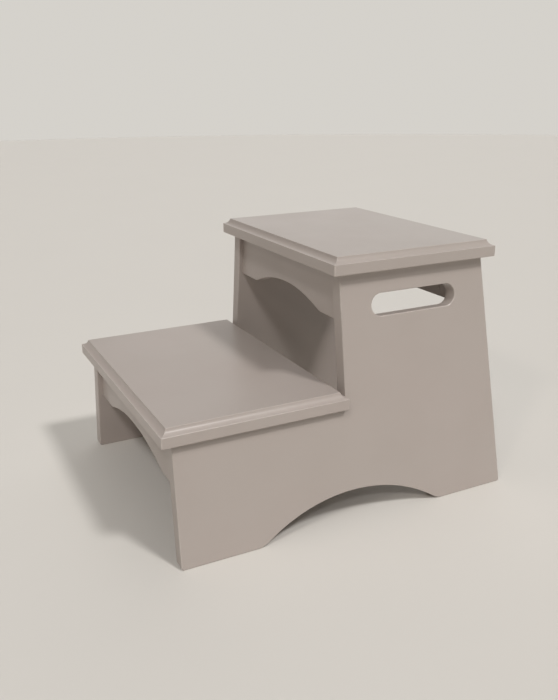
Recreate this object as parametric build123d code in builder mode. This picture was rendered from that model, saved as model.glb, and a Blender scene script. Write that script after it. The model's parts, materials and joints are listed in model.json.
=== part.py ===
"""Two-step painted wooden step stool.

Two splayed side panels carry a top tread and a deeper-set lower tread. A scalloped apron
stands under the front of each tread and a plain rail under the back of the top one. Glued
dowels join the boards, and pocket screws draw the treads down onto the aprons and the rail.

Frame: +Z up, -Y towards the user, origin on the floor at the middle of the width and depth.
All sizes are in millimetres.
"""
import os
from math import cos, radians, sin, tan

from build123d import *

# ---------------------------------------------------------------- driving sizes
stool_height = 345.0            # floor to the top tread's upper face
step_height = 177.5             # floor to the lower tread's upper face
top_tread_width = 343.0
top_tread_depth = 246.0
lower_tread_depth = 245.5
tread_thickness = 22.0
board_thickness = 19.0          # side panels, aprons and back rail
splay = 7.3                     # degrees that each side panel leans in towards the top
rake = 5.0                      # degrees that the rear edges lean forward towards the top
leg_rake = 0.85                 # degrees that the legs' front edges lean back towards the top

top_front_overhang = 14.0       # tread edge beyond the side panels' edges
top_rear_overhang = 13.0
top_side_overhang = 13.0
lower_front_overhang = 14.5
lower_side_overhang = 9.5

cove_width = 8.8                # moulded edge round the top of each tread
cove_drop = 7.8
cove_radius = 9.5
eased_edge = 1.5                # sanded arris on every exposed edge
tread_corner = 2.0              # upright corner of a tread

top_apron_height = 64.0
lower_apron_height = 67.0
apron_setback = 7.0             # apron face behind the side panels' edges at the tread
scallop_rise = 19.5
scallop_end = 51.5              # straight lower edge at each end of a scallop
scallop_blend = 25.0            # radius between the straight end and the scallop
rail_height = 64.0
rail_setback = 7.5              # rail face in front of the side panels' rear edges at the top

handle_length = 129.0
handle_height = 29.0
handle_drop = 45.0              # panel's upper edge down to the middle of the hand slot

arch_rise = 44.0
front_foot = 107.5              # length of each foot on the floor, before its corners
rear_foot = 109.0
foot_corner = 4.0
arch_corner = 25.0              # rounding between the arch and each foot

dowel_radius = 4.0
dowel_chamfer = 1.0
dowel_fit = 0.05                # radial glue clearance
dowel_glue_gap = 1.0            # left at the far end of each dowel hole
dowel_in_tread = 13.0
dowel_in_panel_top = 18.0
dowel_in_panel_face = 11.0
dowel_in_apron = 20.0
dowel_inset = 26.0              # last dowel under the lower tread to the uprights
dowel_gap = 4.0                 # wood between a tread's dowel and an apron's or the rail's
apron_dowel_edge = 16.0         # dowel centre to the apron's upper or lower edge

screw_length = 32.0             # under the head
screw_radius = 2.0
screw_tip = 5.0
screw_head_radius = 4.3
screw_head_height = 2.6
screw_head_bevel = 1.0
screw_fit = 0.05
pocket_radius = 4.75
pocket_angle = 15.0             # degrees between the screw and the board's face
pocket_web = 16.0               # wood between the screw's head and the board's edge
pocket_inset = 31.0             # pocket's centre to the end of the board

# ---------------------------------------------------------------- sizes that follow
splay_slope = tan(radians(splay))
rake_slope = tan(radians(rake))
top_seat = stool_height - tread_thickness
lower_seat = step_height - tread_thickness
panel_top_depth = top_tread_depth - top_front_overhang - top_rear_overhang
overall_depth = lower_tread_depth + panel_top_depth + top_seat * rake_slope

front_y = -overall_depth / 2                    # lower tread's front edge
leg_y = front_y + lower_front_overhang          # front edge of the legs at the tread
foot_front_y = leg_y - lower_seat * tan(radians(leg_rake))
upright_y = front_y + lower_tread_depth         # front edge of the uprights
panel_rear_y = upright_y + panel_top_depth      # rear edge of the panels at the top
foot_rear_y = overall_depth / 2                 # rear edge of the panels at the floor
top_front_y = upright_y - top_front_overhang
panel_across = board_thickness / cos(radians(splay))


def outer_x(z):
    """Half the width over the side panels at height z."""
    return top_tread_width / 2 - top_side_overhang + (top_seat - z) * splay_slope


def inner_x(z):
    """Half the width between the side panels at height z."""
    return outer_x(z) - panel_across


def up_slope(z):
    """Distance from the floor up a side panel's face to height z."""
    return z / cos(radians(splay))


lower_tread_width = 2 * (outer_x(lower_seat) + lower_side_overhang)

# Outer face of the right side panel: x runs to the rear, y up the slope, z outwards.
panel_face = Plane(
    origin=(outer_x(0), 0, 0),
    x_dir=(0, 1, 0),
    z_dir=(cos(radians(splay)), 0, sin(radians(splay))),
)


# ---------------------------------------------------------------- places of the fasteners
def span(start, end, count):
    """Evenly spaced places from start to end."""
    return [start + (end - start) * step / (count - 1) for step in range(count)]


def upright_dowels(y_places, seat):
    """Planes on the right panel's upper edge, one for each dowel, z up into the tread."""
    middle_x = outer_x(seat) - panel_across / 2
    return [Plane(origin=(middle_x, y, seat), z_dir=(0, 0, 1)) for y in y_places]


def level_dowels(y, seat, height):
    """Planes on the right panel's inner face at a board's end, z out into the panel."""
    places = [seat - apron_dowel_edge, seat - height + apron_dowel_edge]
    return [
        Plane(origin=(inner_x(z), y, z), x_dir=(0, 1, 0), z_dir=panel_face.z_dir)
        for z in places
    ]


def both_sides(planes):
    """The planes of the right side, then their mirror images on the left."""
    mirrored = [
        Plane(
            origin=(-plane.origin.X, plane.origin.Y, plane.origin.Z),
            x_dir=plane.x_dir if plane.x_dir.X == 0 else -plane.x_dir,
            z_dir=(-plane.z_dir.X, plane.z_dir.Y, plane.z_dir.Z),
        )
        for plane in planes
    ]
    return planes + mirrored


def turned(planes):
    """The same planes facing the other way."""
    return [Plane(plane.origin, x_dir=plane.x_dir, z_dir=-plane.z_dir) for plane in planes]


def screw_seats(middle_y, seat, pocket_side):
    """Planes under the heads of a board's two pocket screws, z back out of the pocket.

    pocket_side is +1 where the pockets open on the board's rear face, -1 on its front face.
    """
    back = Vector(0, pocket_side * sin(radians(pocket_angle)), -cos(radians(pocket_angle)))
    reach = inner_x(seat) - pocket_inset
    exits = [Vector(x, middle_y, seat) for x in (-reach, reach)]
    return [Plane(origin=point + back * pocket_web, x_dir=(1, 0, 0), z_dir=back) for point in exits]


top_apron_y = upright_y + apron_setback
lower_apron_y = leg_y + apron_setback
back_rail_y = panel_rear_y - rail_setback - board_thickness

top_apron_middle = top_apron_y + board_thickness / 2
lower_apron_middle = lower_apron_y + board_thickness / 2
back_rail_middle = back_rail_y + board_thickness / 2

dowel_spacing = 2 * (dowel_radius + dowel_fit) + dowel_gap
top_dowel_y = span(top_apron_middle + dowel_spacing, back_rail_middle - dowel_spacing, 3)
lower_dowel_y = span(lower_apron_middle + dowel_spacing, upright_y - dowel_inset, 3)
top_dowels = upright_dowels(top_dowel_y, top_seat)
lower_dowels = upright_dowels(lower_dowel_y, lower_seat)
top_apron_ends = level_dowels(top_apron_middle, top_seat, top_apron_height)
lower_apron_ends = level_dowels(lower_apron_middle, lower_seat, lower_apron_height)
back_rail_ends = level_dowels(back_rail_middle, top_seat, rail_height)

all_level_dowels = top_apron_ends + lower_apron_ends + back_rail_ends

top_apron_seats = screw_seats(top_apron_middle, top_seat, 1)
back_rail_seats = screw_seats(back_rail_middle, top_seat, -1)
lower_apron_seats = screw_seats(lower_apron_middle, lower_seat, 1)


def drill_dowels(planes, depth):
    """Holes for dowels in the open part, from each plane down its own -z."""
    with Locations(*planes):
        Hole(radius=dowel_radius + dowel_fit, depth=depth)


def drill_pockets(seats):
    """Pockets and screw holes in the open part, at the seats of the screws' heads."""
    mouth = board_thickness / sin(radians(pocket_angle))
    with Locations(*[seat.offset(mouth) for seat in seats]):
        CounterBoreHole(
            radius=screw_radius + screw_fit,
            counter_bore_radius=pocket_radius,
            counter_bore_depth=mouth,
            depth=mouth + screw_length,
        )


def drill_threads(seats):
    """Screw holes in the open part, which the screws reach through another board."""
    with Locations(*seats):
        Hole(radius=screw_radius + screw_fit, depth=screw_length)


# ---------------------------------------------------------------- side panels
def floor_corners(panel):
    """The short edges across a side panel where its feet meet the floor, front to rear."""
    on_floor = panel.edges().group_by(Axis.Z)[0]
    across = on_floor.filter_by(lambda edge: edge.length < 2 * board_thickness)
    return across.sort_by(Axis.Y)


def make_side_panel():
    """The right side panel with its dowel holes."""
    bevel = board_thickness * splay_slope       # waste above each seat, cut off level
    top_edge = up_slope(top_seat) + bevel
    step_edge = up_slope(lower_seat) + bevel
    rear_top = foot_rear_y - (top_seat + bevel) * rake_slope
    leg_top = leg_y + bevel * tan(radians(leg_rake))
    arch_front = foot_front_y + front_foot
    arch_rear = foot_rear_y - rear_foot
    arch_middle = (arch_front + arch_rear) / 2
    handle_y = (upright_y + panel_rear_y) / 2

    with BuildPart() as panel:
        with BuildSketch(panel_face):
            with BuildLine():
                Polyline(
                    (foot_front_y, 0),
                    (leg_top, step_edge),
                    (upright_y, step_edge),
                    (upright_y, top_edge),
                    (rear_top, top_edge),
                    (foot_rear_y, 0),
                    close=True,
                )
            make_face()
        extrude(amount=-board_thickness)

        with BuildSketch(panel_face):
            with BuildLine():
                ThreePointArc((arch_front, 0), (arch_middle, up_slope(arch_rise)), (arch_rear, 0))
                Line((arch_rear, 0), (arch_front, 0))
            make_face()
        extrude(amount=-board_thickness, mode=Mode.SUBTRACT)

        with BuildSketch(panel_face):
            with Locations((handle_y, up_slope(top_seat - handle_drop))):
                SlotOverall(handle_length, handle_height)
        extrude(amount=-board_thickness, mode=Mode.SUBTRACT)

        split(bisect_by=Plane.XY, keep=Keep.TOP)
        split(bisect_by=Plane.XY.offset(top_seat), keep=Keep.BOTTOM)
        with BuildSketch(Plane.XY.offset(lower_seat)):
            with Locations((outer_x(lower_seat), (front_y + upright_y) / 2)):
                Rectangle(4 * board_thickness, lower_tread_depth)
        extrude(amount=top_seat, mode=Mode.SUBTRACT)

        fillet(floor_corners(panel)[1:3], arch_corner)
        fillet([floor_corners(panel)[0], floor_corners(panel)[-1]], foot_corner)

        faces = panel.faces().filter_by(panel_face)
        seats = panel.faces().filter_by(Axis.Z).sort_by(Axis.Z)[1:]
        arrises = faces.edges() - seats.edges()
        fillet(arrises, eased_edge)

        drill_dowels(top_dowels + lower_dowels, dowel_in_panel_top)
        drill_dowels(turned(all_level_dowels), dowel_in_panel_face)
    return panel


# ---------------------------------------------------------------- treads
def make_tread(width, depth, front, top_z, dowels, screws):
    """A tread with a cove round its upper edges and the holes in its underside."""
    waste = 2.0                                 # the cutter runs this far past the wood
    middle_y = front + depth / 2
    with BuildPart() as tread:
        with BuildSketch(Plane.XY.offset(top_z)):
            with Locations((0, middle_y)):
                Rectangle(width, depth)
        extrude(amount=-tread_thickness)
        fillet(tread.edges().filter_by(Axis.Z), tread_corner)
        for reach, inward in (
            (width / 2, Vector(1, 0, 0)),
            (width / 2, Vector(-1, 0, 0)),
            (depth / 2, Vector(0, 1, 0)),
            (depth / 2, Vector(0, -1, 0)),
        ):
            edge = Vector(0, middle_y, top_z) - inward * reach
            along = inward.cross(Vector(0, 0, 1))
            with BuildSketch(Plane(edge, x_dir=inward, z_dir=along)):
                with BuildLine():
                    RadiusArc((0, -cove_drop), (cove_width, 0), -cove_radius)
                    Polyline(
                        (cove_width, 0),
                        (cove_width, waste),
                        (-waste, waste),
                        (-waste, -cove_drop),
                        (0, -cove_drop),
                    )
                make_face()
            extrude(amount=width + depth, both=True, mode=Mode.SUBTRACT)
        fillet(tread.faces().sort_by(Axis.Z)[0].edges(), eased_edge)

        drill_dowels(turned(dowels), dowel_in_tread)
        drill_threads(screws)
    return tread


# ---------------------------------------------------------------- aprons and rail
def is_end_cut(edge):
    """Whether an edge lies in the sloping end of a crosspiece."""
    start, finish = edge.position_at(0), edge.position_at(1)
    return abs(start.Z - finish.Z) > eased_edge and edge.geom_type == GeomType.LINE


def make_crosspiece(face_y, seat, height, scalloped, ends, screws):
    """A board between the side panels, its ends cut to their lean, hung under a tread."""
    low = seat - height
    top_half = inner_x(seat)
    low_half = inner_x(low)
    with BuildPart() as board:
        with BuildSketch(Plane.XZ.offset(-face_y)) as outline:
            with BuildLine():
                Polyline(
                    (-low_half, low),
                    (low_half, low),
                    (top_half, seat),
                    (-top_half, seat),
                    close=True,
                )
            make_face()
            if scalloped:
                scallop_half = low_half - scallop_end
                with BuildLine():
                    ThreePointArc((-scallop_half, low), (0, low + scallop_rise), (scallop_half, low))
                    Line((scallop_half, low), (-scallop_half, low))
                make_face(mode=Mode.SUBTRACT)
                lowest = outline.vertices().group_by(Axis.Y)[0].sort_by(Axis.X)
                fillet(lowest[1:3], scallop_blend)
        extrude(amount=-board_thickness)

        upright_faces = board.faces().filter_by(Axis.Y)
        joined = board.edges().group_by(Axis.Z)[-1] + board.edges().filter_by(is_end_cut)
        fillet(upright_faces.edges() - joined, eased_edge)

        drill_dowels(turned(both_sides(ends)), dowel_in_apron)
        drill_pockets(screws)
    return board


# ---------------------------------------------------------------- fasteners
def make_dowels(planes, behind, ahead):
    """Dowels across a joint, reaching behind and ahead of each plane."""
    with BuildPart() as dowels:
        with Locations(*[plane.offset(-behind) for plane in planes]):
            Cylinder(
                radius=dowel_radius,
                height=behind + ahead,
                align=(Align.CENTER, Align.CENTER, Align.MIN),
            )
        chamfer(dowels.edges().filter_by(GeomType.CIRCLE), dowel_chamfer)
    return dowels


def make_screw():
    """One pocket screw at the origin, its flat head above the seat and its tip below."""
    with BuildPart() as screw:
        with BuildSketch(Plane.XZ):
            with BuildLine():
                Polyline(
                    (0, screw_head_height),
                    (0, -screw_length),
                    (screw_radius, screw_tip - screw_length),
                    (screw_radius, 0),
                    (screw_head_radius, 0),
                    (screw_head_radius, screw_head_height - screw_head_bevel),
                    (screw_head_radius - screw_head_bevel, screw_head_height),
                    close=True,
                )
            make_face()
        revolve(axis=Axis.Z)
    return screw


def make_screws(seats):
    """Pocket screws, one with its head on each seat."""
    screw = make_screw()
    with BuildPart() as screws:
        with Locations(*seats):
            add(screw.part)
    return screws


# ---------------------------------------------------------------- the pieces
def save(name, piece):
    """Label a finished piece and write it."""
    piece.part.label = name
    export_step(piece.part, f"parts/{name}.step")


os.makedirs("parts", exist_ok=True)

side_panel_right = make_side_panel()
with BuildPart() as side_panel_left:
    mirror(side_panel_right.part, about=Plane.YZ)

top_tread = make_tread(
    top_tread_width,
    top_tread_depth,
    top_front_y,
    stool_height,
    both_sides(top_dowels),
    top_apron_seats + back_rail_seats,
)
lower_tread = make_tread(
    lower_tread_width,
    lower_tread_depth,
    front_y,
    step_height,
    both_sides(lower_dowels),
    lower_apron_seats,
)

top_apron = make_crosspiece(
    top_apron_y, top_seat, top_apron_height, True, top_apron_ends, top_apron_seats
)
lower_apron = make_crosspiece(
    lower_apron_y, lower_seat, lower_apron_height, True, lower_apron_ends, lower_apron_seats
)
back_rail = make_crosspiece(
    back_rail_y, top_seat, rail_height, False, back_rail_ends, back_rail_seats
)

in_tread = dowel_in_tread - dowel_glue_gap
in_apron = dowel_in_apron - dowel_glue_gap
top_tread_dowels = make_dowels(both_sides(top_dowels), dowel_in_panel_top, in_tread)
lower_tread_dowels = make_dowels(both_sides(lower_dowels), dowel_in_panel_top, in_tread)
top_apron_dowels = make_dowels(both_sides(top_apron_ends), in_apron, dowel_in_panel_face)
lower_apron_dowels = make_dowels(both_sides(lower_apron_ends), in_apron, dowel_in_panel_face)
back_rail_dowels = make_dowels(both_sides(back_rail_ends), in_apron, dowel_in_panel_face)

save("side_panel_right", side_panel_right)
save("side_panel_left", side_panel_left)
save("top_tread", top_tread)
save("lower_tread", lower_tread)
save("top_apron", top_apron)
save("lower_apron", lower_apron)
save("back_rail", back_rail)
save("top_tread_dowels", top_tread_dowels)
save("lower_tread_dowels", lower_tread_dowels)
save("top_apron_dowels", top_apron_dowels)
save("lower_apron_dowels", lower_apron_dowels)
save("back_rail_dowels", back_rail_dowels)
save("top_apron_screws", make_screws(top_apron_seats))
save("back_rail_screws", make_screws(back_rail_seats))
save("lower_apron_screws", make_screws(lower_apron_seats))
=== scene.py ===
"""Painted two-step wooden stool: finely modelled boards, fasteners and finishes round the CAD frame.

Frame: metres, +Z up, -Y towards the user, origin on the floor at the middle of the width and depth.
"""

import json
from math import acos, atan2, cos, hypot, pi, radians, sin, sqrt, tan

import bmesh
import bpy
from mathutils import Matrix, Vector

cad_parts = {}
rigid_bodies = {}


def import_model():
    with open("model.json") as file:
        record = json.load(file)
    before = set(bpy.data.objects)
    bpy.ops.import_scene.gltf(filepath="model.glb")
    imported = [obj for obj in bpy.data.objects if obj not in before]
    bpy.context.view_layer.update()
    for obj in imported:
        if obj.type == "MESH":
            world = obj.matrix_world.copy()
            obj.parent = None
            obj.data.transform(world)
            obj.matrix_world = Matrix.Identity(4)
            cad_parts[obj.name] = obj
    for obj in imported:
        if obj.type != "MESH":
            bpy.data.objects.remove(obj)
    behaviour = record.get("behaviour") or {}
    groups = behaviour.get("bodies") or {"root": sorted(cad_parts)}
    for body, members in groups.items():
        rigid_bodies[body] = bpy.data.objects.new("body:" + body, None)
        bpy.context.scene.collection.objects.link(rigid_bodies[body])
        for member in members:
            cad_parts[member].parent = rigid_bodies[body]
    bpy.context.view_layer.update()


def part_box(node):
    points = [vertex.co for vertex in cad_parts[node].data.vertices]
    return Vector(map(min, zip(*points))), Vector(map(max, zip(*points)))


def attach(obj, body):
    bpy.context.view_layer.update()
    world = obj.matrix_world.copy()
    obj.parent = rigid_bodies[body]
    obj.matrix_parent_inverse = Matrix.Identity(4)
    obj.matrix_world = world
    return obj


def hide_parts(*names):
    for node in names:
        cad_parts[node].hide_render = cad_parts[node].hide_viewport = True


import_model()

# ---------------------------------------------------------------- sizes
mm = 0.001
board = 19 * mm                 # thickness of the side panels, the aprons and the rail
splay = radians(7.3)            # how far each side panel leans in towards the top
rake = radians(5.0)             # lean of the rear edges towards the front
leg_rake = radians(0.85)        # lean of the legs' front edges towards the rear

rear_overhang = 13 * mm         # top tread's edges beyond the side panels
side_overhang = 13 * mm
leg_overhang = 14.5 * mm        # lower tread's front edge beyond the legs

cove_width = 8.8 * mm
cove_drop = 7.8 * mm
cove_radius = 9.5 * mm
arris = 1.5 * mm                # sanded edge of every board
tread_corner = 1.8 * mm         # upright corners of the treads
crisp_edge = 0.5 * mm           # paint round the cove's edges and mitres, and the pockets' rims
arris_strip = 0.9 * mm          # widest facet of a rounded edge

scallop_rise = 19.5 * mm
scallop_end = 51.5 * mm         # straight lower edge at each end of a scallop
scallop_blend = 25 * mm
scallop_facet = 4 * mm          # length of each straight stretch of a scallop's arch

handle_length = 129 * mm
handle_height = 29 * mm
handle_drop = 45 * mm           # panel's upper edge to the middle of the hand slot
arch_rise = 44 * mm
front_foot = 107.5 * mm
rear_foot = 109 * mm
foot_corner = 4 * mm
arch_blend = 25 * mm
arch_facet = 6 * mm             # length of each straight stretch of the foot's arch

dowel_radius = 4 * mm
dowel_length = 30 * mm
dowel_chamfer = 1 * mm
flute_count = 20
flute_depth = 0.3 * mm
hole_fit = 0.05 * mm            # between a hole and its dowel or screw
dowel_in_tread = 13 * mm
dowel_in_panel_top = 18 * mm
dowel_in_panel_face = 11 * mm
dowel_in_apron = 20 * mm
dowel_inset = 26 * mm           # last dowel under the lower tread to the uprights
dowel_gap = 4 * mm              # wood between a tread's dowel holes and a crosspiece's
dowel_spacing = 2 * (dowel_radius + hole_fit) + dowel_gap
apron_dowel_edge = 16 * mm      # dowel's centre to the apron's upper or lower edge

screw_length = 32 * mm          # under the head
screw_radius = 2 * mm           # over the thread, and of the plain neck
screw_core = 1.45 * mm
screw_neck = 7 * mm
screw_neck_taper = 0.6 * mm
screw_tip = 5 * mm
screw_head_radius = 4.3 * mm
screw_head_height = 2.6 * mm
screw_head_bevel = 1 * mm
thread_pitch = 1.6 * mm
thread_start = 3 * mm           # from the point to the thread's first turn
thread_root = 0.1 * mm          # how far the thread is sunk into the core
thread_foot = 0.45 * mm         # half the thread's width where it meets the core
recess_width = 3.1 * mm         # square drive's cutter, at its upper end
recess_depth = 1.9 * mm
recess_taper = 0.75             # cutter's width at its lower end over its upper
pocket_radius = 4.75 * mm
pocket_angle = radians(15)      # between a pocket screw and the board's face
pocket_web = 16 * mm            # wood between the screw's head and the board's edge
pocket_inset = 31 * mm          # pocket's centre to the end of the board
pocket_mouth = board / sin(pocket_angle)

weld = 0.01 * mm                # points closer than this are one
level = 0.999                   # cosine above which a face is level, unlike the hand slot's sides
parallel = 0.99                 # cosine above which two directions count as one
roughly = 0.9                   # cosine above which they count as nearly one
slight = 0.01                   # cosine below which they count as square

# Creases sharper than these stay crisp, and the others are shaded round.
board_crease = radians(34)
dowel_crease = radians(25)
screw_crease = radians(35)

# Places taken from the frame.
top_low, top_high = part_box("top_tread")
step_low, step_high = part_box("lower_tread")
top_apron_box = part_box("top_apron")
lower_apron_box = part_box("lower_apron")
back_rail_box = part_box("back_rail")
upright_y = step_high.y
leg_y = step_low.y + leg_overhang
top_seat = top_low.z
step_seat = step_low.z
rear_top_y = top_high.y - rear_overhang
foot_front_y = leg_y - step_seat * tan(leg_rake)
foot_rear_y = rear_top_y + top_seat * tan(rake)


def outer_x(z):
    """Half the width over the side panels at height z."""
    return top_high.x - side_overhang + (top_seat - z) * tan(splay)


def inner_x(z):
    """Half the width between the side panels at height z."""
    return outer_x(z) - board / cos(splay)


# ---------------------------------------------------------------- modelling by hand
def edit(piece):
    """Open a piece for editing, all selected."""
    bpy.context.view_layer.objects.active = piece
    bpy.ops.object.mode_set(mode="EDIT")
    bpy.ops.mesh.select_mode(type="VERT")
    bpy.ops.mesh.select_all(action="SELECT")


def begin(name, add, **settings):
    """Add a primitive by one of Blender's add operators and open it for editing."""
    bpy.ops.object.select_all(action="DESELECT")
    add(**settings)
    bpy.ops.object.transform_apply(location=True, rotation=True, scale=True)
    piece = bpy.context.object
    piece.name = name
    piece.data.name = name
    edit(piece)
    return piece


def pick(kind, wanted):
    """Select the vertices, edges or faces of the open piece that wanted accepts."""
    bpy.ops.mesh.select_mode(type=kind)
    bpy.ops.mesh.select_all(action="DESELECT")
    mesh = bmesh.from_edit_mesh(bpy.context.object.data)
    elements = {"VERT": mesh.verts, "EDGE": mesh.edges, "FACE": mesh.faces}[kind]
    for element in elements:
        if wanted(element):
            element.select_set(True)
    mesh.select_flush_mode()
    bmesh.update_edit_mesh(bpy.context.object.data)


def middle(edge):
    """Middle of an edge."""
    return (edge.verts[0].co + edge.verts[1].co) / 2


def along(edge):
    """Unit direction of an edge."""
    return (edge.verts[1].co - edge.verts[0].co).normalized()


def faces_towards(edge, direction):
    """Whether exactly one of an edge's faces looks along direction, either way."""
    return sum(abs(face.normal.dot(direction)) > parallel for face in edge.link_faces) == 1


def round_edges(wanted, radius, segments=4):
    """Round the edges that wanted accepts."""
    pick("EDGE", wanted)
    bpy.ops.mesh.bevel(
        offset=radius, offset_type="OFFSET", segments=segments, profile=0.5,
        affect="EDGES", clamp_overlap=False, miter_outer="SHARP",
    )


def tag_arrises(piece):
    """Mark the narrow strips of the rounded edges as arris, where the paint is drawn lighter: partly
    thinner, worn paint and partly a painted highlight.
    """

    def narrow(face):
        return face.calc_area() < arris_strip * max(edge.calc_length() for edge in face.edges)

    mesh = bmesh.new()
    mesh.from_mesh(piece.data)
    values = [float(all(narrow(face) for face in vertex.link_faces)) for vertex in mesh.verts]
    mesh.free()
    piece.data.attributes.new("arris", "FLOAT", "POINT").data.foreach_set("value", values)


def finish_board(piece):
    """Close a board's mesh, with its flat faces shaded flat and its rounded edges round."""
    bpy.ops.mesh.select_mode(type="VERT")
    bpy.ops.mesh.select_all(action="SELECT")
    bpy.ops.mesh.normals_make_consistent(inside=False)
    bpy.ops.object.mode_set(mode="OBJECT")
    tag_arrises(piece)
    bpy.ops.object.shade_smooth_by_angle(angle=board_crease)
    weighted = piece.modifiers.new("flat_faces", "WEIGHTED_NORMAL")
    weighted.keep_sharp = True
    weighted.weight = 100
    bpy.ops.object.modifier_apply(modifier=weighted.name)
    return piece


class Pencil:
    """Draws a board's outline vertex by vertex, with lines and arcs.

    place turns a distance along the board and a height into a point, and arcs turn about across.
    """

    def __init__(self, name, place, across):
        self.place = place
        self.across = across
        self.piece = begin(name, bpy.ops.mesh.primitive_plane_add, size=board)
        bpy.ops.mesh.delete(type="VERT")

    def start(self, *point):
        """Put the pencil down at a point."""
        bpy.ops.mesh.select_all(action="DESELECT")
        bpy.ops.mesh.primitive_plane_add(size=board)
        bpy.ops.mesh.merge(type="CENTER")
        self.here = self.place(*point)
        bpy.ops.transform.translate(value=self.here)

    def line(self, *point):
        """Draw a straight line to a point."""
        step = self.place(*point) - self.here
        bpy.ops.mesh.extrude_region_move(TRANSFORM_OT_translate={"value": step})
        self.here = self.place(*point)

    def arc(self, along_board, height, angle, steps):
        """Draw an arc about a centre, counter-clockwise where angle is positive."""
        centre = self.place(along_board, height)
        bpy.ops.mesh.spin(steps=steps, angle=-angle, center=centre, axis=self.across)
        self.here = centre + Matrix.Rotation(angle, 3, self.across) @ (self.here - centre)

    def close(self):
        """Join the outline's end to its start and fill it with one face."""
        bpy.ops.mesh.select_linked(delimit=set())
        bpy.ops.mesh.remove_doubles(threshold=weld)
        bpy.ops.mesh.edge_face_add()

    def arched_edge(self, first, last, low, rise, blend, facet):
        """Draw a lower edge's arch from first to last, blended into the straight edge."""
        half = (last - first) / 2
        centre = (first + last) / 2
        radius = (half**2 + rise**2) / (2 * rise)
        depth = radius - rise                       # arch's centre below the edge
        turn = acos((blend + depth) / (radius + blend))
        reach = (radius + blend) * sin(turn)        # middle of the arch to each blend's centre
        blend_steps = max(4, round(blend * turn / facet))
        arch_steps = round(2 * radius * turn / facet)
        self.line(centre - reach, low)
        self.arc(centre - reach, low + blend, turn, blend_steps)
        self.arc(centre, low - depth, -2 * turn, arch_steps)
        self.arc(centre + reach, low + blend, turn, blend_steps)


def turn_on_lathe(name, outline, steps=32):
    """A solid turned about z from an outline of (radius, height) points."""
    pencil = Pencil(name, lambda radius, z: Vector((radius, 0, z)), Vector((0, 0, 1)))
    pencil.start(*outline[0])
    for point in outline[1:]:
        pencil.line(*point)
    bpy.ops.mesh.select_all(action="SELECT")
    bpy.ops.mesh.spin(steps=steps, angle=2 * pi, center=(0, 0, 0), axis=(0, 0, 1))
    bpy.ops.mesh.select_all(action="SELECT")
    bpy.ops.mesh.remove_doubles(threshold=weld)
    bpy.ops.mesh.normals_make_consistent(inside=False)
    return pencil.piece


def select_only(*pieces):
    """Select these pieces alone, the first of them active."""
    bpy.ops.object.select_all(action="DESELECT")
    for piece in pieces:
        piece.select_set(True)
    bpy.context.view_layer.objects.active = pieces[0]


def put_copies(piece, name, places):
    """Copies of a piece, one at each place, joined under one name; the pattern is deleted."""
    copies = []
    for place in places:
        select_only(piece)
        bpy.ops.object.duplicate(linked=False)
        copy = bpy.context.object
        copy.matrix_world = place
        bpy.ops.object.transform_apply(location=True, rotation=True, scale=True)
        copies.append(copy)
    select_only(piece)
    bpy.ops.object.delete()
    select_only(*copies)
    bpy.ops.object.join()
    copies[0].name = name
    copies[0].data.name = name
    return copies[0]


def cut(piece, cutter):
    """Take a cutter's solid out of a piece, and open the piece again."""
    select_only(piece)
    bore = piece.modifiers.new("bore", "BOOLEAN")
    bore.operation = "DIFFERENCE"
    bore.solver = "EXACT"
    bore.object = cutter
    bpy.ops.object.modifier_apply(modifier=bore.name)
    select_only(cutter)
    bpy.ops.object.delete()
    edit(piece)


def drill(piece, places, outline):
    """Drill the open piece at each place with a cutter of this (radius, height) outline."""
    bpy.ops.object.mode_set(mode="OBJECT")
    cutter = turn_on_lathe("cutter", outline)
    bpy.ops.object.mode_set(mode="OBJECT")
    cut(piece, put_copies(cutter, "cutters", places))


def dowel_hole(depth):
    """Outline of a dowel hole's cutter, which goes down from z = 0."""
    radius = dowel_radius + hole_fit
    return (0, -depth), (radius, -depth), (radius, mm), (0, mm)


bore_radius = screw_radius + hole_fit
screw_hole = (0, -screw_length), (bore_radius, -screw_length), (bore_radius, mm), (0, mm)
pocket_hole = (
    (0, -screw_length), (bore_radius, -screw_length), (bore_radius, 0),
    (pocket_radius, 0), (pocket_radius, pocket_mouth), (0, pocket_mouth),
)


# ---------------------------------------------------------------- places of the fasteners
def axis_place(point, direction):
    """Place that puts a piece's z axis through a point, along a direction."""
    turn = Vector(direction).to_track_quat("Z", "Y").to_matrix().to_4x4()
    return Matrix.Translation(point) @ turn


def turned_over(places):
    """The same places, facing the other way."""
    return [place @ Matrix.Rotation(pi, 4, "X") for place in places]


def shifted(places, height):
    """The same places, moved along their own z axes."""
    return [place @ Matrix.Translation((0, 0, height)) for place in places]


def middle_y(low, high):
    """Middle of a box's depth."""
    return (low.y + high.y) / 2


def upright_dowels(seat, first, last):
    """Places on the side panels' upper edges for a tread's dowels, z up into the tread."""
    middle_x = outer_x(seat) - board / cos(splay) / 2
    rows = first, (first + last) / 2, last
    return [axis_place((side * middle_x, y, seat), (0, 0, 1)) for side in (1, -1) for y in rows]


def level_dowels(low, high, seat):
    """Places on the side panels' inner faces for a crosspiece's dowels, z out into the panel."""
    y = middle_y(low, high)
    rows = seat - apron_dowel_edge, low.z + apron_dowel_edge
    return [
        axis_place((side * inner_x(z), y, z), (side * cos(splay), 0, sin(splay)))
        for side in (1, -1)
        for z in rows
    ]


def screw_seats(low, high, seat, pocket_side):
    """Places under the heads of a crosspiece's two screws, z back out of the pocket."""
    back = Vector((0, pocket_side * sin(pocket_angle), -cos(pocket_angle)))
    reach = inner_x(seat) - pocket_inset
    y = middle_y(low, high)
    return [axis_place(Vector((x, y, seat)) + back * pocket_web, back) for x in (-reach, reach)]


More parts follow.
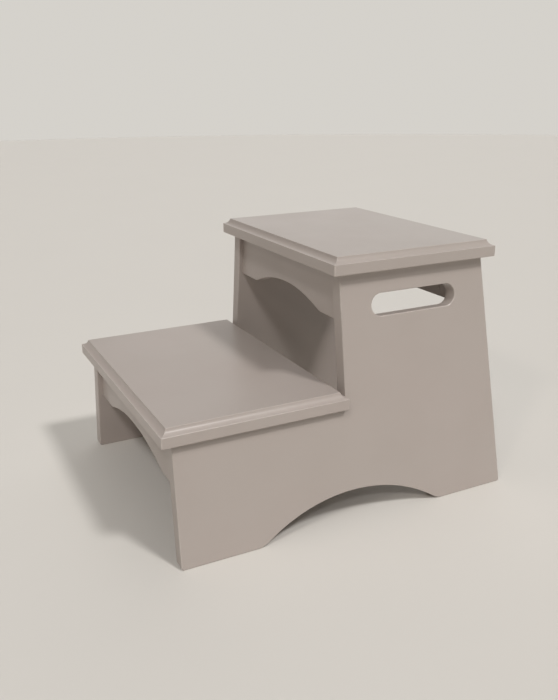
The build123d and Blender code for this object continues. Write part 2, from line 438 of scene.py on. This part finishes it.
top_dowels = upright_dowels(
    top_seat, middle_y(*top_apron_box) + dowel_spacing, middle_y(*back_rail_box) - dowel_spacing
)
lower_dowels = upright_dowels(
    step_seat, middle_y(*lower_apron_box) + dowel_spacing, upright_y - dowel_inset
)
top_apron_dowels = level_dowels(*top_apron_box, top_seat)
lower_apron_dowels = level_dowels(*lower_apron_box, step_seat)
back_rail_dowels = level_dowels(*back_rail_box, top_seat)
top_apron_screws = screw_seats(*top_apron_box, top_seat, 1)
lower_apron_screws = screw_seats(*lower_apron_box, step_seat, 1)
back_rail_screws = screw_seats(*back_rail_box, top_seat, -1)


# ---------------------------------------------------------------- side panels
def make_side_panel(name):
    """The right side panel: arched foot, step, hand slot, cut level at the floor and the seats."""
    top_height = (top_seat + board * sin(splay)) / cos(splay)
    step_height = step_seat / cos(splay)
    slot_height = (top_seat - handle_drop) / cos(splay)
    slot_middle = (upright_y + rear_top_y) / 2
    slot_radius = handle_height / 2
    slot_reach = handle_length / 2 - slot_radius    # middle of the slot to each end's centre
    slope_top = foot_rear_y - top_height * tan(rake) * cos(splay)
    slope_slot = foot_rear_y - slot_height * tan(rake) * cos(splay)
    slot_steps = 12

    pencil = Pencil(name, lambda y, z: Vector((0, y, z)), Vector((1, 0, 0)))
    pencil.start(foot_front_y, 0)
    pencil.arched_edge(
        foot_front_y + front_foot, foot_rear_y - rear_foot, 0,
        arch_rise / cos(splay), arch_blend, arch_facet,
    )
    pencil.line(foot_rear_y, 0)
    pencil.line(slope_slot, slot_height)
    pencil.line(slot_middle + slot_reach + slot_radius, slot_height)
    pencil.arc(slot_middle + slot_reach, slot_height, -pi / 2, slot_steps)
    pencil.line(slot_middle - slot_reach, slot_height - slot_radius)
    pencil.arc(slot_middle - slot_reach, slot_height, -pi / 2, slot_steps)
    pencil.line(upright_y, slot_height)
    pencil.line(upright_y, step_height)
    pencil.line(leg_y, step_height)
    pencil.line(foot_front_y, 0)
    pencil.close()
    pencil.start(upright_y, slot_height)
    pencil.line(slot_middle - slot_reach - slot_radius, slot_height)
    pencil.arc(slot_middle - slot_reach, slot_height, -pi / 2, slot_steps)
    pencil.line(slot_middle + slot_reach, slot_height + slot_radius)
    pencil.arc(slot_middle + slot_reach, slot_height, -pi / 2, slot_steps)
    pencil.line(slope_slot, slot_height)
    pencil.line(slope_top, top_height)
    pencil.line(upright_y, top_height)
    pencil.line(upright_y, slot_height)
    pencil.close()

    bpy.ops.mesh.select_all(action="SELECT")
    bpy.ops.mesh.remove_doubles(threshold=weld)
    bpy.ops.mesh.extrude_region_move(TRANSFORM_OT_translate={"value": (-board, 0, 0)})

    def inner_step(vertex):
        at_seat = abs(vertex.co.z - step_height) < weld and vertex.co.y < upright_y + weld
        return vertex.co.x < -weld and at_seat

    # The step's seat is level, so its inner edge stands higher up the board.
    pick("VERT", inner_step)
    bpy.ops.transform.translate(value=(0, 0, board * tan(splay)))

    bpy.ops.mesh.select_all(action="SELECT")
    bpy.ops.mesh.normals_make_consistent(inside=False)
    bpy.ops.transform.rotate(value=splay, orient_axis="Y", center_override=(0, 0, 0))
    bpy.ops.transform.translate(value=(outer_x(0), 0, 0))
    bpy.ops.mesh.select_all(action="SELECT")
    bpy.ops.mesh.bisect(
        plane_co=(0, 0, 0), plane_no=(0, 0, 1), use_fill=True, clear_inner=True, threshold=weld
    )
    bpy.ops.mesh.select_all(action="SELECT")
    bpy.ops.mesh.bisect(
        plane_co=(0, 0, top_seat), plane_no=(0, 0, 1), use_fill=True, clear_outer=True, threshold=weld
    )

    def foot_end(edge):
        spot = middle(edge)
        at_end = spot.y < foot_front_y + mm or spot.y > foot_rear_y - mm
        return spot.z < weld and at_end and abs(along(edge).x) > roughly

    outward = Vector((cos(splay), 0, sin(splay)))

    def sanded(edge):
        on_seat = any(face.normal.z > level for face in edge.link_faces)
        return faces_towards(edge, outward) and not on_seat

    round_edges(foot_end, foot_corner, segments=5)
    round_edges(sanded, arris)
    drill(pencil.piece, top_dowels[:3] + lower_dowels[:3], dowel_hole(dowel_in_panel_top))
    ends = top_apron_dowels[:2] + lower_apron_dowels[:2] + back_rail_dowels[:2]
    drill(pencil.piece, turned_over(ends), dowel_hole(dowel_in_panel_face))
    return finish_board(pencil.piece)


def mirrored(piece, name):
    """A copy of a piece on the other side of the middle, with its own mesh."""
    select_only(piece)
    bpy.ops.object.duplicate(linked=False)
    copy = bpy.context.object
    copy.name = name
    copy.data.name = name
    copy.scale.x = -1
    bpy.ops.object.transform_apply(location=True, rotation=True, scale=True)
    edit(copy)
    bpy.ops.mesh.normals_make_consistent(inside=False)
    bpy.ops.object.mode_set(mode="OBJECT")
    return copy


# ---------------------------------------------------------------- treads
def make_tread(name, low, high, dowels, screws):
    """A tread with a cove round its upper edges, mitred at the corners, and holes underneath."""
    size = high - low
    centre = (low + high) / 2
    shoulder = high.z - cove_drop
    piece = begin(
        name, bpy.ops.mesh.primitive_cube_add, size=1,
        location=(centre.x, centre.y, (low.z + shoulder) / 2), scale=(size.x, size.y, shoulder - low.z),
    )
    chord = hypot(cove_width, cove_drop)
    bulge = sqrt(cove_radius**2 - (chord / 2) ** 2)
    arc_x = cove_width / 2 - bulge * cove_drop / chord
    arc_z = -cove_drop / 2 + bulge * cove_width / chord
    first = atan2(-cove_drop - arc_z, -arc_x)
    last = atan2(-arc_z, cove_width - arc_x)
    cove_facets = 9
    inset, height = 0, shoulder
    pick("FACE", lambda face: face.normal.z > roughly)
    for facet in range(1, cove_facets + 1):
        angle = first + (last - first) * facet / cove_facets
        new_inset = arc_x + cove_radius * cos(angle)
        new_height = high.z + arc_z + cove_radius * sin(angle)
        bpy.ops.mesh.extrude_region_move(
            TRANSFORM_OT_translate={"value": (0, 0, new_height - height)}
        )
        shrink_x = (size.x - 2 * new_inset) / (size.x - 2 * inset)
        shrink_y = (size.y - 2 * new_inset) / (size.y - 2 * inset)
        bpy.ops.transform.resize(
            value=(shrink_x, shrink_y, 1), center_override=(centre.x, centre.y, new_height)
        )
        inset, height = new_inset, new_height

    def corner(edge):
        return abs(along(edge).z) > parallel and middle(edge).z < shoulder

    def lower_edge(edge):
        at_bottom = all(abs(vertex.co.z - low.z) < weld for vertex in edge.verts)
        return at_bottom and any(abs(face.normal.z) < slight for face in edge.link_faces)

    def mould_line(edge):
        direction, height = along(edge), middle(edge).z
        at_line = abs(height - high.z) < weld or abs(height - shoulder) < weld
        mitre = abs(abs(direction.x) - abs(direction.y)) < slight and height > shoulder
        return abs(direction.z) < slight and at_line or mitre

    round_edges(corner, tread_corner)
    round_edges(lower_edge, arris)
    round_edges(mould_line, crisp_edge, segments=3)
    drill(piece, turned_over(dowels), dowel_hole(dowel_in_tread))
    drill(piece, screws, screw_hole)
    return finish_board(piece)


# ---------------------------------------------------------------- aprons and rail
def make_crosspiece(name, low, high, seat, scalloped, dowels, screws):
    """A board between the side panels, its ends cut to their lean, with two pocket holes."""
    low_half = inner_x(low.z)
    top_half = inner_x(seat)
    pencil = Pencil(name, lambda x, z: Vector((x, low.y, z)), Vector((0, -1, 0)))
    pencil.start(-low_half, low.z)
    if scalloped:
        end = low_half - scallop_end
        pencil.arched_edge(-end, end, low.z, scallop_rise, scallop_blend, scallop_facet)
    pencil.line(low_half, low.z)
    pencil.line(top_half, seat)
    pencil.line(-top_half, seat)
    pencil.line(-low_half, low.z)
    pencil.close()
    bpy.ops.mesh.extrude_region_move(TRANSFORM_OT_translate={"value": (0, high.y - low.y, 0)})
    bpy.ops.mesh.select_all(action="SELECT")
    bpy.ops.mesh.normals_make_consistent(inside=False)

    rearward = Vector((0, 1, 0))
    margin = 3 * arris              # keeps the pockets' rims apart from the sanded edges

    def sanded(edge):
        joined = any(max(face.normal.z, abs(face.normal.x)) > roughly for face in edge.link_faces)
        return faces_towards(edge, rearward) and not joined

    def pocket_rim(edge):
        spot = middle(edge)
        near = any(abs(spot.x - place.translation.x) < pocket_radius + mm for place in screws)
        clear = low.z + margin < spot.z < seat - margin
        return near and clear and faces_towards(edge, rearward)

    round_edges(sanded, arris)
    drill(pencil.piece, dowels, dowel_hole(dowel_in_apron))
    drill(pencil.piece, screws, pocket_hole)
    round_edges(pocket_rim, crisp_edge, segments=2)
    return finish_board(pencil.piece)


# ---------------------------------------------------------------- fasteners
def make_dowels(name, places, sunk):
    """Fluted dowels across a joint, sunk this far behind each place."""
    half = dowel_length / 2
    rim = dowel_radius - dowel_chamfer
    outline = (
        (0, -half), (rim, -half), (dowel_radius, dowel_chamfer - half),
        (dowel_radius, half - dowel_chamfer), (rim, half), (0, half),
    )
    piece = turn_on_lathe("dowel", outline, steps=3 * flute_count)

    def flute(vertex):
        """Whether a vertex is one of every third round the dowel's side."""
        turn = atan2(vertex.co.y, vertex.co.x) / (2 * pi) * flute_count
        return abs(turn - round(turn)) < 1 / 6 and hypot(vertex.co.x, vertex.co.y) > rim + weld

    pick("VERT", flute)
    shrink = 1 - flute_depth / dowel_radius
    bpy.ops.transform.resize(value=(shrink, shrink, 1), center_override=(0, 0, 0))
    bpy.ops.object.mode_set(mode="OBJECT")
    bpy.ops.object.shade_smooth_by_angle(angle=dowel_crease)
    return put_copies(piece, name, shifted(places, half - sunk))


def make_thread():
    """A screw's helical thread below z = 0, a closed ridge of triangular section."""
    pencil = Pencil("thread", lambda radius, z: Vector((radius, 0, z)), Vector((0, 0, 1)))
    root = screw_core - thread_root
    start = thread_start - screw_length
    pencil.start(root, start - thread_foot)
    pencil.line(screw_radius, start)
    pencil.line(root, start + thread_foot)
    pencil.line(root, start - thread_foot)
    bpy.ops.mesh.select_all(action="SELECT")
    bpy.ops.mesh.remove_doubles(threshold=weld)
    bpy.ops.object.mode_set(mode="OBJECT")
    winding = pencil.piece.modifiers.new("winding", "SCREW")
    winding.screw_offset = thread_pitch
    winding.iterations = int((screw_length - screw_neck - thread_start) / thread_pitch)
    winding.steps = 16
    winding.render_steps = winding.steps
    bpy.ops.object.modifier_apply(modifier=winding.name)
    edit(pencil.piece)
    bpy.ops.mesh.fill_holes(sides=3)
    bpy.ops.mesh.normals_make_consistent(inside=False)
    bpy.ops.object.mode_set(mode="OBJECT")
    return pencil.piece


def make_screws(name, places):
    """Pocket screws with flat washer heads and square recesses, one head on each place."""
    belly = 0.3 * screw_head_bevel      # the bevel's middle to the head's square outline
    outline = (
        (0, -screw_length), (screw_core, screw_tip - screw_length), (screw_core, -screw_neck),
        (screw_radius, screw_neck_taper - screw_neck), (screw_radius, 0), (screw_head_radius, 0),
        (screw_head_radius, screw_head_height - screw_head_bevel),
        (screw_head_radius - belly, screw_head_height - belly),
        (screw_head_radius - screw_head_bevel, screw_head_height), (0, screw_head_height),
    )
    piece = turn_on_lathe("screw", outline, steps=40)
    bpy.ops.object.mode_set(mode="OBJECT")
    recess = begin(
        "recess", bpy.ops.mesh.primitive_cube_add, size=1,
        location=(0, 0, screw_head_height), scale=(recess_width, recess_width, 2 * recess_depth),
    )
    pick("FACE", lambda face: face.normal.z < -roughly)
    bpy.ops.transform.resize(value=(recess_taper, recess_taper, 1), center_override=(0, 0, 0))
    bpy.ops.object.mode_set(mode="OBJECT")
    cut(piece, recess)
    bpy.ops.mesh.normals_make_consistent(inside=False)
    bpy.ops.object.mode_set(mode="OBJECT")
    thread = make_thread()
    select_only(piece, thread)
    bpy.ops.object.join()
    bpy.ops.object.shade_smooth_by_angle(angle=screw_crease)
    return put_copies(piece, name, places)


# ---------------------------------------------------------------- finishes
class Signal:
    """An output of a shader node that works in arithmetic."""

    def __init__(self, finish, socket):
        self.finish = finish
        self.socket = socket

    def combine(self, operation, first, second):
        return self.finish.add("ShaderNodeMath", {"operation": operation}, {0: first, 1: second})

    def __add__(self, other):
        return self.combine("ADD", self, other)

    def __radd__(self, other):
        return self.combine("ADD", other, self)

    def __sub__(self, other):
        return self.combine("SUBTRACT", self, other)

    def __rsub__(self, other):
        return self.combine("SUBTRACT", other, self)

    def __mul__(self, other):
        return self.combine("MULTIPLY", self, other)

    def __rmul__(self, other):
        return self.combine("MULTIPLY", other, self)


class Finish:
    """A material under construction: nodes are added here and reach its one shader."""

    def __init__(self, name):
        self.material = bpy.data.materials.new(name)
        self.material.use_nodes = True
        self.tree = self.material.node_tree
        self.shader = self.tree.nodes["Principled BSDF"]
        self.surface = Signal(self, self.add("ShaderNodeTexCoord", {}, {}, "Object").socket)

    def add(self, kind, settings, inputs, output=0):
        """Add a node, settings first, then the values or links of its sockets."""
        node = self.tree.nodes.new(kind)
        for key, value in settings.items():
            if key == "stops":
                ramp = node.color_ramp.elements
                for element, (position, shade) in zip(ramp, value):
                    element.position = position
                    element.color = (shade, shade, shade, 1)
            else:
                setattr(node, key, value)
        for key, value in inputs.items():
            if isinstance(value, Signal):
                self.tree.links.new(value.socket, node.inputs[key])
            else:
                node.inputs[key].default_value = value
        return Signal(self, node.outputs[output])

    def stretched(self, scale, shift=(0, 0, 0)):
        """Object coordinates scaled by axis, to draw a pattern out along a board."""
        inputs = {"Vector": self.surface, "Location": shift, "Scale": scale}
        return self.add("ShaderNodeMapping", {}, inputs)

    def noise(self, scale, detail=2.0, where=None, roughness=0.5):
        """Soft random variation between 0 and 1."""
        return self.add(
            "ShaderNodeTexNoise", {},
            {"Vector": where or self.surface, "Scale": scale, "Detail": detail, "Roughness": roughness},
        )

    def ramp(self, value, *stops):
        """Read a value through a ramp between two (position, shade) stops."""
        return self.add("ShaderNodeValToRGB", {"stops": stops}, {"Fac": value})

    def blend(self, first, second, share):
        """Colour that goes from first to second as share goes from 0 to 1."""
        colours = {
            key: value if isinstance(value, Signal) else (*value, 1)
            for key, value in ((6, first), (7, second))
        }
        return self.add("ShaderNodeMix", {"data_type": "RGBA"}, {0: share, **colours}, 2)

    def connect(self, **inputs):
        """Set or link the shader's own sockets, with spaces in their names as underscores."""
        for key, value in inputs.items():
            socket = self.shader.inputs[key.replace("_", " ")]
            if isinstance(value, Signal):
                self.tree.links.new(value.socket, socket)
            else:
                socket.default_value = value

    def relief(self, height, depth, under=None):
        """Bump a surface by a height map, whose full range is depth metres."""
        inputs = {"Height": height, "Distance": depth, "Strength": 1.0}
        if under:
            inputs["Normal"] = under
        return self.add("ShaderNodeBump", {}, inputs)


def make_paint(name, grain_scale, shift):
    """Satin greige paint sprayed over sanded wood, drawn lighter on its rounded edges: partly thinner,
    scuffed paint and partly a painted highlight.

    grain_scale draws the faint grain under the paint out along the board.
    """
    paint = Finish(name)
    moved = paint.stretched((1, 1, 1), shift)
    drift = paint.noise(5.0, 2.0, moved)
    tone = paint.noise(13.0, 3.0, moved)
    speckle = paint.noise(900.0, 1.0)
    grain = paint.noise(1.0, 4.0, paint.stretched(grain_scale, shift), 0.6)
    edge = paint.add("ShaderNodeAttribute", {"attribute_name": "arris"}, {}, "Fac")
    scuff = paint.ramp(paint.noise(160.0, 3.0), (0.45, 0.0), (0.7, 1.0))

    warm = (0.455, 0.400, 0.370)
    cool = (0.446, 0.398, 0.366)
    deep = (0.415, 0.360, 0.328)
    thin_paint_and_highlight = (0.600, 0.550, 0.512)
    colour = paint.blend(cool, warm, paint.ramp(drift, (0.35, 0.0), (0.65, 1.0)))
    colour = paint.blend(colour, deep, paint.ramp(tone, (0.4, 0.0), (0.8, 0.35)))
    colour = paint.blend(colour, deep, 0.08 * speckle + 0.10 * grain)
    # Rounded edges painted lighter: partly thinner, scuffed paint and partly a painted highlight where
    # the edges catch the light.
    colour = paint.blend(colour, thin_paint_and_highlight, edge * (0.3 + 0.35 * scuff))

    dust = paint.add(
        "ShaderNodeTexVoronoi", {"feature": "F1"}, {"Vector": paint.surface, "Scale": 55.0}, "Distance"
    )
    nibs = paint.ramp(dust, (0.0, 1.0), (0.035, 0.0))
    peel = paint.noise(420.0, 2.0)
    brushed = paint.relief(grain, 0.00006)
    peeled = paint.relief(peel, 0.00005, brushed)
    bumpy = paint.relief(nibs, 0.00006, peeled)
    paint.connect(
        Base_Color=colour,
        Roughness=0.27 + 0.08 * tone + 0.05 * speckle - 0.04 * edge,
        Normal=bumpy,
        Specular_IOR_Level=0.30,
        Coat_Weight=0.04,
        Coat_Roughness=0.25,
    )
    return paint.material


def make_beech(name, fine, medium, short):
    """Bare beech: pores and rings drawn out along the grain, and short brown flecks.

    fine, medium and short are the scales by axis of the pores, the rings and the flecks.
    """
    light, dark, fleck, pore = (
        (0.60, 0.42, 0.26), (0.47, 0.30, 0.17), (0.33, 0.19, 0.10), (0.38, 0.23, 0.12)
    )
    beech = Finish(name)
    pores = beech.noise(1.0, 4.0, beech.stretched(fine), 0.6)
    rings = beech.noise(1.0, 2.0, beech.stretched(medium, (0.4, 0.2, 0.1)))
    flecks = beech.ramp(beech.noise(1.0, 1.0, beech.stretched(short)), (0.58, 0.0), (0.66, 1.0))
    colour = beech.blend(light, dark, beech.ramp(rings, (0.3, 0.0), (0.7, 1.0)))
    colour = beech.blend(colour, fleck, 0.5 * flecks)
    beech.connect(
        Base_Color=beech.blend(colour, pore, 0.25 * pores),
        Roughness=0.55 + 0.2 * pores,
        Normal=beech.relief(pores, 0.00008),
    )
    return beech.material


def make_steel():
    """Bright zinc on the screws' steel, a little duller where it is worn."""
    bright = (0.66, 0.65, 0.62)
    dull = (0.48, 0.48, 0.47)
    steel = Finish("zinc_plated_steel")
    cloud = steel.noise(350.0, 3.0)
    spangle = steel.noise(1600.0, 2.0)
    steel.connect(
        Base_Color=steel.blend(bright, dull, steel.ramp(cloud, (0.35, 0.0), (0.7, 1.0))),
        Metallic=1.0 - 0.1 * cloud,
        Roughness=0.26 + 0.2 * cloud + 0.05 * spangle,
        Normal=steel.relief(spangle, 0.00003),
    )
    return steel.material


def dress(piece, material, node):
    """Give a piece its finish, and hang it on the frame in place of its CAD node."""
    piece.data.materials.clear()
    piece.data.materials.append(material)
    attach(piece, "root")
    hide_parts(node)


# ---------------------------------------------------------------- the pieces
paint_on_treads = make_paint("greige_paint_on_treads", (6, 90, 90), (0.3, 0.1, 0.0))
paint_on_panels = make_paint("greige_paint_on_side_panels", (90, 6, 90), (1.7, 0.4, 0.2))
paint_on_crosspieces = make_paint("greige_paint_on_crosspieces", (6, 90, 90), (2.9, 0.8, 0.5))
upright_beech = make_beech("beech_of_upright_dowels", (700, 700, 60), (300, 300, 30), (900, 900, 250))
level_beech = make_beech("beech_of_level_dowels", (60, 700, 700), (30, 300, 300), (250, 900, 900))
steel = make_steel()

right_panel = make_side_panel("painted_side_panel_right")
left_panel = mirrored(right_panel, "painted_side_panel_left")
dress(right_panel, paint_on_panels, "side_panel_right")
dress(left_panel, paint_on_panels, "side_panel_left")

for name, low, high, dowels, screws in (
    ("top_tread", top_low, top_high, top_dowels, top_apron_screws + back_rail_screws),
    ("lower_tread", step_low, step_high, lower_dowels, lower_apron_screws),
):
    tread = make_tread(f"painted_{name}", low, high, dowels, screws)
    dress(tread, paint_on_treads, name)

for name, box, seat, scalloped, dowels, screws in (
    ("top_apron", top_apron_box, top_seat, True, top_apron_dowels, top_apron_screws),
    ("lower_apron", lower_apron_box, step_seat, True, lower_apron_dowels, lower_apron_screws),
    ("back_rail", back_rail_box, top_seat, False, back_rail_dowels, back_rail_screws),
):
    crosspiece = make_crosspiece(f"painted_{name}", *box, seat, scalloped, dowels, screws)
    dress(crosspiece, paint_on_crosspieces, name)
    pins = make_dowels(f"fluted_{name}_dowels", dowels, dowel_length - dowel_in_panel_face)
    dress(pins, level_beech, f"{name}_dowels")
    pocket_screws = make_screws(f"square_drive_{name}_screws", screws)
    dress(pocket_screws, steel, f"{name}_screws")

for name, dowels in (("top_tread", top_dowels), ("lower_tread", lower_dowels)):
    pins = make_dowels(f"fluted_{name}_dowels", dowels, dowel_in_panel_top)
    dress(pins, upright_beech, f"{name}_dowels")

# ---------------------------------------------------------------- floor, light and camera
scene = bpy.context.scene


def make_floor():
    """A plain pale floor, wide enough to run out of every view."""
    floor = begin(
        "studio_floor", bpy.ops.mesh.primitive_circle_add, radius=8, vertices=96, fill_type="NGON"
    )
    bpy.ops.object.mode_set(mode="OBJECT")
    surface = Finish("pale_studio_floor")
    shade = surface.noise(3.0, 3.0)
    surface.connect(
        Base_Color=surface.blend((0.69, 0.665, 0.625), (0.705, 0.680, 0.640), shade),
        Roughness=0.8 + 0.1 * shade,
        Normal=surface.relief(surface.noise(300.0), 0.00005),
    )
    floor.data.materials.append(surface.material)


def make_light(name, direction, width, power, tint):
    """A far studio light, seen in a direction and this many degrees wide."""
    lamp = bpy.data.lights.new(name, "SUN")
    lamp.angle = radians(width)
    lamp.energy = power
    lamp.color = tint
    light = bpy.data.objects.new(name, lamp)
    light.rotation_euler = Vector(direction).to_track_quat("Z", "Y").to_euler()
    scene.collection.objects.link(light)


def make_backdrop():
    """A pale wall that the floor runs up to, under a dark studio ceiling."""
    wall = (0.665, 0.642, 0.600)
    ceiling = (0.03, 0.03, 0.03)
    wall_top = 0.10                 # both as the sine of the angle above the horizon
    ceiling_edge = 0.20
    world = bpy.data.worlds.new("studio")
    world.use_nodes = True
    nodes = world.node_tree.nodes
    links = world.node_tree.links
    direction = nodes.new("ShaderNodeTexCoord")
    height = nodes.new("ShaderNodeSeparateXYZ")
    shade = nodes.new("ShaderNodeValToRGB")
    stops = (wall_top, wall), (ceiling_edge, ceiling)
    for element, (position, colour) in zip(shade.color_ramp.elements, stops):
        element.position = position
        element.color = (*colour, 1)
    links.new(direction.outputs["Generated"], height.inputs[0])
    links.new(height.outputs["Z"], shade.inputs["Fac"])
    links.new(shade.outputs["Color"], nodes["Background"].inputs["Color"])
    scene.world = world


def make_camera():
    """The camera, three quarters on from the right and a little above."""
    place = Vector((0.95060, -0.47628, 0.54148))
    right = Vector((0.447457, 0.894251, -0.009862))
    forward = Vector((-0.847484, 0.420482, -0.323984))
    up = right.cross(forward)
    turn = Matrix((right, up, -forward)).transposed().to_4x4()
    data = bpy.data.cameras.new("camera")
    data.lens = 39.95
    data.clip_end = 50
    camera = bpy.data.objects.new("camera", data)
    camera.matrix_world = Matrix.Translation(place) @ turn
    scene.collection.objects.link(camera)
    scene.camera = camera


make_floor()
make_backdrop()
for name, direction, width, power, tint in (
    ("window", (0.550, 0.250, 0.800), 8, 1.32, (1.0, 0.985, 0.975)),
    ("window_side", (0.424, -0.424, 0.800), 12, 0.62, (1.0, 0.980, 0.965)),
    ("key", (0.695, -0.331, 0.639), 5, 0.45, (1.0, 0.980, 0.960)),
    ("front_lamp", (0.416, -0.693, 0.589), 5, 0.25, (1.0, 0.900, 0.800)),
    ("rear_left_softbox", (-0.670, 0.550, 0.500), 60, 0.46, (1.0, 0.985, 0.950)),
    ("overhead", (0.000, 0.000, 1.000), 60, 0.58, (1.0, 0.985, 0.950)),
):
    make_light(name, direction, width, power, tint)
make_camera()
scene.view_settings.view_transform = "Standard"
